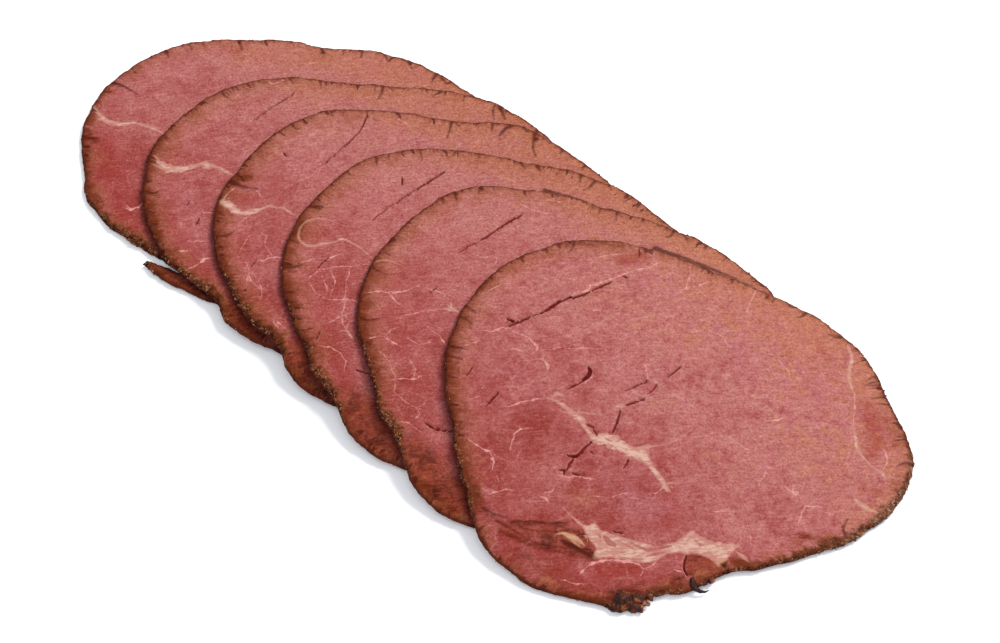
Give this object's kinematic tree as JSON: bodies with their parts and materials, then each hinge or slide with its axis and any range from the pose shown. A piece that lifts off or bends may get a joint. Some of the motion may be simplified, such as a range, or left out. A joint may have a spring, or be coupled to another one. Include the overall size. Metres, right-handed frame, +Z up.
{
  "type": "sliced roast beef",
  "caption": "Thin slices of cold roast beef, shingled in one run as they were cut, with a browned craggy rim and a draped, slightly lifted edge.",
  "frame": {"origin": "on the table, under the middle of the fan's bounding box", "axes": "+X along the run of slices, from the bottom slice to the top one; +Z up; +Y across the run, away from the slices' crusted lower rims"},
  "size_m": [0.2756, 0.1362, 0.0154],
  "materials": {
    "meat": null
  },
  "bodies": {
    "root": {"slice_1": "meat", "slice_2": "meat", "slice_3": "meat", "slice_4": "meat", "slice_5": "meat", "slice_6": "meat"}
  },
  "joints": []
}
